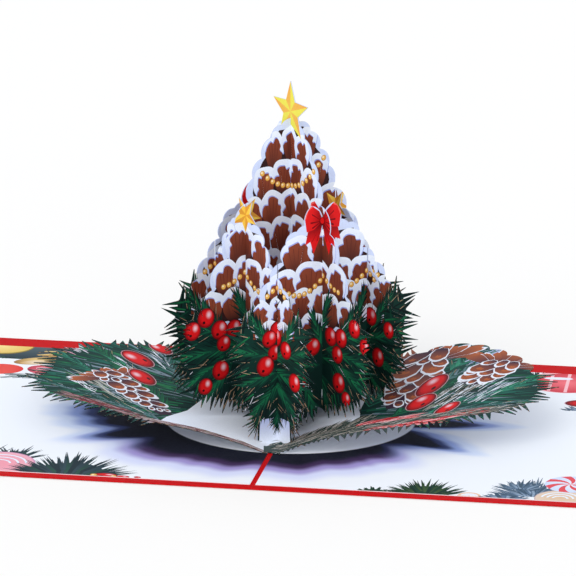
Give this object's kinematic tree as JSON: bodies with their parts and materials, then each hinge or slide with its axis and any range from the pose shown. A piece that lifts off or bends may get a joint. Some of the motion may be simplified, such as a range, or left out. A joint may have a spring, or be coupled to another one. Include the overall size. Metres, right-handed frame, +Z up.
{
  "type": "pop-up greeting card",
  "caption": "Folded greeting card, opened flat, with an interlocked paper Christmas tree standing on a raised printed wreath sheet.",
  "frame": {"origin": "on the table, under the middle of the card's spine", "axes": "+X across the right leaf, +Y along the spine towards the back, +Z up through the tree"},
  "size_m": [0.3, 0.183, 0.1414],
  "materials": {
    "cover_card": "matt red card",
    "liner_print": "satin printed paper",
    "wreath_print": "satin printed paper",
    "tree_print": "satin printed paper"
  },
  "bodies": {
    "root": {"card_cover": "cover_card", "left_liner": "liner_print", "right_liner": "liner_print", "wreath_sheet": "wreath_print", "star_slice_front": "tree_print", "star_slice_middle": "tree_print", "star_slice_back": "tree_print", "bow_slice_left": "tree_print", "bow_slice_centre": "tree_print", "bow_slice_right": "tree_print"}
  },
  "joints": []
}
